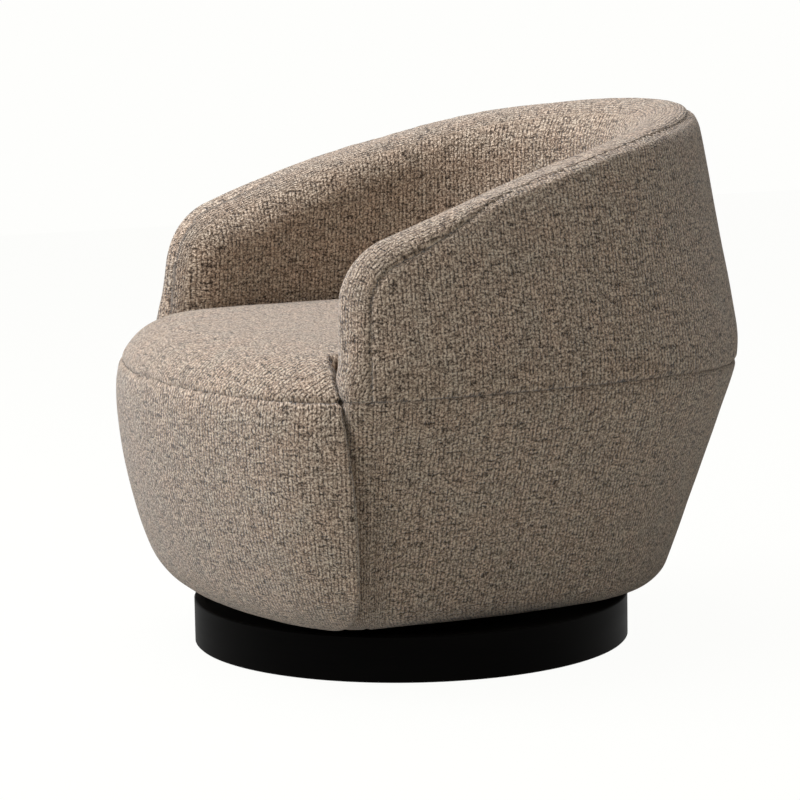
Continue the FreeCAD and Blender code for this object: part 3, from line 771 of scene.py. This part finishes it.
def stripRun(p):
    # Run along the crest of the arm, down its nose and front
    s, v = shell, sideView
    y, z = p[:, 1], p[:, 2]
    rimTurn = np.arctan2(v["rim"].x - y, z - v["rim"].y)
    noseFrom = math.atan2(-v["toRim"].x, v["toRim"].y)
    noseTo = math.atan2(-v["normal"].x, v["normal"].y)
    noseTurn = np.arctan2(v["nose"].x - y, z - v["nose"].y)
    nosePath = s["rimRadius"] * noseFrom + s["noseRadius"] * (noseTurn - noseFrom)
    foot = v["nose"] + v["normal"] * s["noseRadius"]
    frontPath = s["rimRadius"] * noseFrom + s["noseRadius"] * (noseTo - noseFrom) + foot.y - z
    path = np.where(noseTurn < noseTo, nosePath, frontPath)
    path = np.where(rimTurn < noseFrom, s["rimRadius"] * rimTurn, path)
    return wellAlong(p) + sideOf(p) * (path - (v["rim"].x - y))


def inOuterLower(p):
    return (waistSeam(p) < 0) & (wallDepth(p) < panelReach["wall"])


def inOuterUpper(p):
    return (waistSeam(p) > 0) & (rimSeam(p) > 0) & (wallDepth(p) < panelReach["wall"])


def inInner(p):
    return (waistSeam(p) > 0) & ((rimSeam(p) < 0) | (wallDepth(p) > panelReach["wall"]))


def inSeatTop(p):
    return (seatSeam(p) > 0) & (seatProfile(p) < panelReach["seatTop"])


def inSeatBand(p):
    return (seatSeam(p) < 0) & (seatProfile(p) < panelReach["seatBand"]) & (p[:, 1] < panelReach["bandBack"])


panels = {
    "outerLowerPanel": panelFrom(tubSkin, inOuterLower),
    "outerUpperPanel": panelFrom(tubSkin, inOuterUpper),
    "innerPanel": panelFrom(tubSkin, inInner),
    "seatTopPanel": panelFrom(seatSkin, inSeatTop),
    "seatBandPanel": panelFrom(seatSkin, inSeatBand),
}
tubSkin.free()
seatSkin.free()

addWeaveMap(panels["outerLowerPanel"], roundCrease, upWall)
addWeaveMap(panels["outerUpperPanel"], fromBack, upWall)
addWeaveMap(panels["innerPanel"], wellAlong, lambda p: p[:, 2])
addWeaveMap(panels["innerPanel"], acrossStrip, stripRun, "stripWeave")
addWeaveMap(panels["seatTopPanel"], lambda p: overSeat(p)[0], lambda p: overSeat(p)[1])
addWeaveMap(panels["seatBandPanel"], roundBandEnd, downBand)
stripLayer = panels["innerPanel"].verts.layers.float.new("strip")
innerPlaces = coordsOf(panels["innerPanel"])
onStrip = ease(wellDepth(innerPlaces) - sideDepth(innerPlaces), -maps["stripBlend"], maps["stripBlend"])
for vertex, amount in zip(panels["innerPanel"].verts, onStrip):
    vertex[stripLayer] = float(amount)

replaced = {
    "outerLowerPanel": ["outer_lower_cover"],
    "outerUpperPanel": ["outer_upper_cover", "tub_foam"],
    "innerPanel": ["inner_cover"],
    "seatTopPanel": ["seat_top_cover", "seat_foam"],
    "seatBandPanel": ["seat_band_cover"],
}
coverThickness = 0.003
covers = []
for name, bm in panels.items():
    for face in bm.faces:
        face.smooth = True
    cover = objectFrom(bm, name)
    wall = cover.modifiers.new("thickness", "SOLIDIFY")
    wall.thickness = coverThickness
    wall.offset = -1
    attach(cover, "seat_body")
    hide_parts(*replaced[name])
    covers.append(cover)
    print(name, len(cover.data.polygons))


# Materials
def newMaterial(name):
    material = bpy.data.materials.new(name)
    material.use_nodes = True
    tree = material.node_tree
    tree.nodes.clear()
    out = tree.nodes.new("ShaderNodeOutputMaterial")
    shader = tree.nodes.new("ShaderNodeBsdfPrincipled")
    tree.links.new(shader.outputs["BSDF"], out.inputs["Surface"])
    return material, tree, shader


def node(tree, kind, values=None, **settings):
    made = tree.nodes.new(kind)
    for key, value in settings.items():
        setattr(made, key, value)
    for key, value in (values or {}).items():
        made.inputs[key].default_value = value
    return made


def maths(tree, operation, first, second=None, clamp=False):
    made = tree.nodes.new("ShaderNodeMath")
    made.operation = operation
    made.use_clamp = clamp
    for socket, value in zip(made.inputs, (first, second)):
        if value is None:
            continue
        if isinstance(value, (int, float)):
            socket.default_value = value
        else:
            tree.links.new(value, socket)
    return made.outputs[0]


def mixColour(tree, factor, first, second, blend="MIX"):
    made = tree.nodes.new("ShaderNodeMix")
    made.data_type = "RGBA"
    made.blend_type = blend
    # Sockets 6 and 7 and output 2 are the colour ones
    for socket, value in ((made.inputs[0], factor), (made.inputs[6], first), (made.inputs[7], second)):
        if isinstance(value, (int, float)):
            socket.default_value = value
        elif isinstance(value, tuple):
            socket.default_value = (*value, 1.0)
        else:
            tree.links.new(value, socket)
    return made.outputs[2]


def linear(red, green, blue):
    return tuple(((c / 255) / 12.92 if c / 255 <= 0.04045 else ((c / 255 + 0.055) / 1.055) ** 2.4)
                 for c in (red, green, blue))


# Noise is given as waves per metre and detail, a share as factor and start
cloth = {
    "wander": (75.0, 2.0), "wanderReach": (0.0034, 0.0050, 0),
    "nubWidth": 0.0044, "nubPitch": 0.0037, "nubFall": 1.50, "nubTone": (0.9, 0.2), "nubHeight": 0.66,
    "columnPitch": 0.0060, "columnPower": 0.40, "columnShare": (0.46, -0.26),
    "fibre": (430.0, 1.5), "fibreShare": (1.20, -0.50),
    "patch": (95.0, 2.0), "patchStretch": (1.0, 1.5), "patchShare": (0.50, -0.22),
    "slubStretch": (46.0, 170.0), "slubDetail": 1.5, "slubRange": (0.60, 0.74), "slubDepth": 0.26,
    # The ramp colours are the yarn's own tone, with painted shade at the dark end and a painted highlight at
    # the bright end
    "loopYarnAndHighlight": linear(226, 206, 183), "middle": linear(160, 140, 121), "gapYarnAndShade": linear(64, 52, 41),
    "middleAt": 0.38, "brightAt": 0.80,
    "drift": (26.0, 3.0), "warm": (1.07, 0.985, 0.93), "cool": (0.94, 1.01, 1.03),
    "relief": 0.0024, "roughness": 0.95, "specular": 0.10, "sheen": 0.42, "sheenRoughness": 0.45,
}


def scaledMap(tree, source, across, up):
    made = node(tree, "ShaderNodeVectorMath", operation="MULTIPLY")
    made.inputs[1].default_value = (across, up, 1)
    tree.links.new(source, made.inputs[0])
    return made.outputs[0]


def flatNoise(tree, source, scale, detail):
    made = node(tree, "ShaderNodeTexNoise", {"Scale": scale, "Detail": detail}, noise_dimensions="2D")
    tree.links.new(source, made.inputs["Vector"])
    return made


def weighted(tree, value, factor, start):
    made = maths(tree, "MULTIPLY_ADD", value, factor)
    made.node.inputs[2].default_value = start
    return made


def buildLoopWeave():
    group = bpy.data.node_groups.new("loopWeave", "ShaderNodeTree")
    face = group.interface
    face.new_socket("Map", in_out="INPUT", socket_type="NodeSocketVector")
    face.new_socket("Color", in_out="OUTPUT", socket_type="NodeSocketColor")
    face.new_socket("Height", in_out="OUTPUT", socket_type="NodeSocketFloat")
    enter = group.nodes.new("NodeGroupInput")
    leave = group.nodes.new("NodeGroupOutput")
    link = group.links.new
    place = enter.outputs["Map"]
    # Yarns wander a little off their lines
    wander = flatNoise(group, place, *cloth["wander"])
    shift = node(group, "ShaderNodeVectorMath", operation="MULTIPLY_ADD")
    shift.inputs[1].default_value = cloth["wanderReach"]
    link(wander.outputs["Color"], shift.inputs[0])
    link(place, shift.inputs[2])
    shifted = shift.outputs[0]
    scaled = scaledMap(group, shifted, 1 / cloth["nubWidth"], 1 / cloth["nubPitch"])
    nubs = node(group, "ShaderNodeTexVoronoi", {"Scale": 1.0, "Randomness": 1.0},
                voronoi_dimensions="2D", feature="F1")
    link(scaled, nubs.inputs["Vector"])
    fall = maths(group, "MULTIPLY", nubs.outputs["Distance"], cloth["nubFall"])
    nub = maths(group, "SUBTRACT", 1.0, fall, clamp=True)
    tone = group.nodes.new("ShaderNodeSeparateColor")
    link(nubs.outputs["Color"], tone.inputs[0])
    height = maths(group, "MULTIPLY", nub, weighted(group, tone.outputs[0], *cloth["nubTone"]))
    height = maths(group, "MULTIPLY", height, cloth["nubHeight"])
    # Narrow grooves between the columns of loops
    split = group.nodes.new("ShaderNodeSeparateXYZ")
    link(scaledMap(group, shifted, 1 / cloth["columnPitch"], 1.0), split.inputs[0])
    turn = maths(group, "MULTIPLY", split.outputs[0], math.pi)
    ridge = maths(group, "ABSOLUTE", maths(group, "SINE", turn))
    column = maths(group, "POWER", ridge, cloth["columnPower"])
    height = maths(group, "ADD", height, weighted(group, column, *cloth["columnShare"]))
    # Tufts and loose fibres
    fibre = flatNoise(group, place, *cloth["fibre"])
    height = maths(group, "ADD", height, weighted(group, fibre.outputs["Fac"], *cloth["fibreShare"]))
    patch = flatNoise(group, scaledMap(group, shifted, *cloth["patchStretch"]), *cloth["patch"])
    height = maths(group, "ADD", height, weighted(group, patch.outputs["Fac"], *cloth["patchShare"]))
    # Slubs: short rows sunk into the cloth, which the height ramp below also makes darker
    slub = flatNoise(group, scaledMap(group, shifted, *cloth["slubStretch"]), 1.0, cloth["slubDetail"])
    thin, bare = cloth["slubRange"]
    slubMask = node(group, "ShaderNodeMapRange", {"From Min": thin, "From Max": bare})
    link(slub.outputs["Fac"], slubMask.inputs["Value"])
    sunk = maths(group, "MULTIPLY", slubMask.outputs[0], cloth["slubDepth"])
    height = maths(group, "SUBTRACT", height, sunk)
    # The colour follows the height: low gaps and grooves get painted shade and the loop tops a painted
    # highlight, over the yarn's own lighter loops and darker ground
    ramp = group.nodes.new("ShaderNodeValToRGB")
    gapYarnAndShade, loopYarnAndHighlight = ramp.color_ramp.elements
    gapYarnAndShade.position = 0.0
    gapYarnAndShade.color = (*cloth["gapYarnAndShade"], 1)
    loopYarnAndHighlight.position = cloth["brightAt"]
    loopYarnAndHighlight.color = (*cloth["loopYarnAndHighlight"], 1)
    middle = ramp.color_ramp.elements.new(cloth["middleAt"])
    middle.color = (*cloth["middle"], 1)
    link(height, ramp.inputs[0])
    # Broad drifts of warmer and cooler yarn
    drift = flatNoise(group, place, *cloth["drift"])
    tint = mixColour(group, drift.outputs["Fac"], cloth["warm"], cloth["cool"])
    colour = mixColour(group, 1.0, ramp.outputs[0], tint, "MULTIPLY")
    link(colour, leave.inputs["Color"])
    link(height, leave.inputs["Height"])
    return group


loopWeave = buildLoopWeave()


def weaveOn(tree, mapName):
    uv = node(tree, "ShaderNodeUVMap", uv_map=mapName)
    weave = tree.nodes.new("ShaderNodeGroup")
    weave.node_tree = loopWeave
    tree.links.new(uv.outputs[0], weave.inputs["Map"])
    return weave.outputs["Color"], weave.outputs["Height"]


def buildCloth(name, wrapsEdge=False):
    material, tree, shader = newMaterial(name)
    colour, height = weaveOn(tree, "weave")
    if wrapsEdge:
        # Over the crest and nose the cloth runs lengthwise along the strip
        strip = node(tree, "ShaderNodeAttribute", attribute_name="strip")
        stripColour, stripHeight = weaveOn(tree, "stripWeave")
        colour = mixColour(tree, strip.outputs["Fac"], colour, stripColour)
        blend = node(tree, "ShaderNodeMix", data_type="FLOAT")
        tree.links.new(strip.outputs["Fac"], blend.inputs[0])
        tree.links.new(height, blend.inputs[2])
        tree.links.new(stripHeight, blend.inputs[3])
        height = blend.outputs[0]
    bump = node(tree, "ShaderNodeBump", {"Strength": 1.0, "Distance": cloth["relief"]})
    tree.links.new(height, bump.inputs["Height"])
    tree.links.new(bump.outputs[0], shader.inputs["Normal"])
    tree.links.new(colour, shader.inputs["Base Color"])
    shader.inputs["Roughness"].default_value = cloth["roughness"]
    shader.inputs["Specular IOR Level"].default_value = cloth["specular"]
    shader.inputs["Sheen Weight"].default_value = cloth["sheen"]
    shader.inputs["Sheen Roughness"].default_value = cloth["sheenRoughness"]
    return material


wovenCloth = buildCloth("wovenBoucle")
wrappedCloth = buildCloth("wovenBoucleWrapped", True)
for cover in covers:
    cover.data.materials.append(wrappedCloth if cover.name == "innerPanel" else wovenCloth)


def objectCoords(tree, scale):
    coords = tree.nodes.new("ShaderNodeTexCoord")
    mapping = node(tree, "ShaderNodeMapping")
    mapping.inputs["Scale"].default_value = scale
    tree.links.new(coords.outputs["Object"], mapping.inputs["Vector"])
    return mapping.outputs[0]


grainSettings = {"detail": 5.0, "distortion": 0.3, "roughnessSpread": 0.06, "strength": 0.6}


def grainy(name, first, second, scale, roughness, relief, metallic=0.0, specular=0.5):
    g = grainSettings
    material, tree, shader = newMaterial(name)
    grain = node(tree, "ShaderNodeTexNoise",
                 {"Scale": 1.0, "Detail": g["detail"], "Distortion": g["distortion"]})
    tree.links.new(objectCoords(tree, scale), grain.inputs["Vector"])
    colour = mixColour(tree, grain.outputs["Fac"], first, second)
    tree.links.new(colour, shader.inputs["Base Color"])
    rough = node(tree, "ShaderNodeMapRange",
                 {"To Min": roughness - g["roughnessSpread"], "To Max": roughness + g["roughnessSpread"]})
    tree.links.new(grain.outputs["Fac"], rough.inputs["Value"])
    tree.links.new(rough.outputs[0], shader.inputs["Roughness"])
    bump = node(tree, "ShaderNodeBump", {"Strength": g["strength"], "Distance": relief})
    tree.links.new(grain.outputs["Fac"], bump.inputs["Height"])
    tree.links.new(bump.outputs[0], shader.inputs["Normal"])
    shader.inputs["Metallic"].default_value = metallic
    shader.inputs["Specular IOR Level"].default_value = specular
    return material


# Two colours, waves of the grain along each axis, roughness and relief
finishes = {
    "stained_wood": grainy("blackStainedWood", linear(1, 1, 1), linear(8, 7, 6),
                           (9, 9, 60), 0.5, 0.0002, specular=0.02),
    "plywood": grainy("birchPlywood", linear(200, 168, 124), linear(224, 196, 156),
                      (8, 8, 140), 0.6, 0.0003),
    "webbing": grainy("elasticWebbing", linear(96, 84, 66), linear(132, 118, 96),
                      (500, 500, 500), 0.85, 0.0004),
    "lining": grainy("blackLining", linear(26, 26, 28), linear(42, 42, 44),
                     (900, 900, 900), 0.9, 0.0002),
    "foam": grainy("creamFoam", linear(226, 214, 172), linear(238, 228, 192),
                   (600, 600, 600), 0.95, 0.0004),
    "zinc_steel": grainy("zincSteel", linear(176, 178, 178), linear(206, 207, 204),
                         (60, 60, 60), 0.35, 0.00005, metallic=1.0),
    "bearing_steel": grainy("ballSteel", linear(204, 205, 206), linear(220, 221, 222),
                            (90, 90, 90), 0.16, 0.00002, metallic=1.0),
    "cage_plastic": grainy("nylonCage", linear(222, 219, 206), linear(232, 229, 218),
                           (200, 200, 200), 0.5, 0.0001),
    "glide": grainy("feltGlide", linear(34, 34, 34), linear(52, 52, 52),
                    (1200, 1200, 1200), 0.9, 0.0003),
    "woven_cover": wovenCloth,
}
for part in frame["record"]["subparts"]:
    nodeObject = frame["nodes"][part["node"]]
    material = finishes[part["material_slot"]]
    if nodeObject.material_slots:
        for place in nodeObject.material_slots:
            place.material = material
    else:
        nodeObject.data.materials.append(material)
print("materials assigned")


# Stage: pale floor, soft studio light and the photograph's camera
view = {
    "azimuth": 65.77, "elevation": 8.40, "distance": 4.57384, "focal": 3292.49, "pixels": 800, "sensor": 36,
    "right": -0.04922, "up": -0.03000, "roll": -1.0, "target": (0, 0.0026, 0.36),
}
stage = {
    "halfSize": 6.0, "floor": (0.52, 0.52, 0.49, 1), "floorRoughness": 0.9,
    "glow": (1.0, 1.0, 0.983, 1), "glowStrength": 1.018, "glowShare": 0.95,
    "air": (1.0, 0.99, 0.97, 1), "airStrength": 0.22, "backdrop": (0.991, 0.991, 0.974, 1),
}
lamps = {
    "keyLamp": {"place": (-0.8, -2.4, 3.4), "target": (0, 0, 0.4), "size": 1.8,
                "power": 76, "colour": (0.97, 1.0, 1.08)},
    "topLamp": {"place": (-0.6, -0.5, 3.6), "target": (0, -0.1, 0.4), "size": 3.0,
                "power": 103, "colour": (0.99, 1.0, 1.04)},
    "frontLamp": {"place": (0.4, -3.4, 2.2), "target": (0, 0, 0.4), "size": 1.8,
                  "power": 52, "colour": (0.97, 1.0, 1.08)},
    "sideLamp": {"place": (3.2, -0.2, 2.2), "target": (0, 0, 0.4), "size": 1.8,
                 "power": 6, "colour": (1.06, 1.0, 0.90)},
}


def placeCamera():
    a, e, r = rad(view["azimuth"]), rad(view["elevation"]), rad(view["roll"])
    back = Vector((math.sin(a) * math.cos(e), -math.cos(a) * math.cos(e), math.sin(e)))
    right = Vector((math.cos(a), math.sin(a), 0))
    up = back.cross(right)
    target = Vector(view["target"]) + right * view["right"] + up * view["up"]
    turnedRight = right * math.cos(r) + up * math.sin(r)
    turnedUp = up * math.cos(r) - right * math.sin(r)
    camera = bpy.data.objects.new("camera", bpy.data.cameras.new("camera"))
    bpy.context.collection.objects.link(camera)
    camera.data.sensor_width = view["sensor"]
    camera.data.lens = view["sensor"] * view["focal"] / view["pixels"]
    turned = Matrix((turnedRight, turnedUp, back)).transposed().to_4x4()
    camera.matrix_world = Matrix.Translation(target + back * view["distance"]) @ turned
    bpy.context.scene.camera = camera


def addLamp(name, settings):
    data = bpy.data.lights.new(name, "AREA")
    data.shape = "DISK"
    data.size = settings["size"]
    data.energy = settings["power"]
    data.color = settings["colour"]
    lamp = bpy.data.objects.new(name, data)
    bpy.context.collection.objects.link(lamp)
    lamp.location = settings["place"]
    aim = Vector(settings["target"]) - Vector(settings["place"])
    lamp.rotation_euler = aim.to_track_quat("-Z", "Y").to_euler()


def seenByEye(tree):
    # 1 for what the camera sees, also by way of gloss or glass, and 0 for the light that falls on things
    light = tree.nodes.new("ShaderNodeLightPath")
    through = maths(tree, "MAXIMUM", light.outputs["Is Glossy Ray"], light.outputs["Is Transmission Ray"])
    return maths(tree, "MAXIMUM", light.outputs["Is Camera Ray"], through)


def mixInto(tree, share, first, second, out):
    mix = tree.nodes.new("ShaderNodeMixShader")
    for value, socket in zip((share, first.outputs[0], second.outputs[0]), mix.inputs):
        tree.links.new(value, socket)
    tree.links.new(mix.outputs[0], out.inputs["Surface"])


def buildFloor():
    bm = bmesh.new()
    bmesh.ops.create_grid(bm, x_segments=4, y_segments=4, size=stage["halfSize"])
    floor = objectFrom(bm, "floor")
    material, tree, shader = newMaterial("paleFloor")
    shader.inputs["Base Color"].default_value = stage["floor"]
    shader.inputs["Roughness"].default_value = stage["floorRoughness"]
    glow = node(tree, "ShaderNodeEmission", {"Color": stage["glow"], "Strength": stage["glowStrength"]})
    out = [n for n in tree.nodes if n.type == "OUTPUT_MATERIAL"][0]
    mixInto(tree, maths(tree, "MULTIPLY", seenByEye(tree), stage["glowShare"]), shader, glow, out)
    floor.data.materials.append(material)


def buildWorld():
    world = bpy.data.worlds.new("studio")
    bpy.context.scene.world = world
    world.use_nodes = True
    tree = world.node_tree
    tree.nodes.clear()
    out = tree.nodes.new("ShaderNodeOutputWorld")
    soft = node(tree, "ShaderNodeBackground", {"Color": stage["air"], "Strength": stage["airStrength"]})
    pale = node(tree, "ShaderNodeBackground", {"Color": stage["backdrop"], "Strength": 1.0})
    mixInto(tree, seenByEye(tree), soft, pale, out)


buildFloor()
buildWorld()
for name, settings in lamps.items():
    addLamp(name, settings)
placeCamera()
bpy.context.scene.view_settings.view_transform = "Standard"
print("stage built")
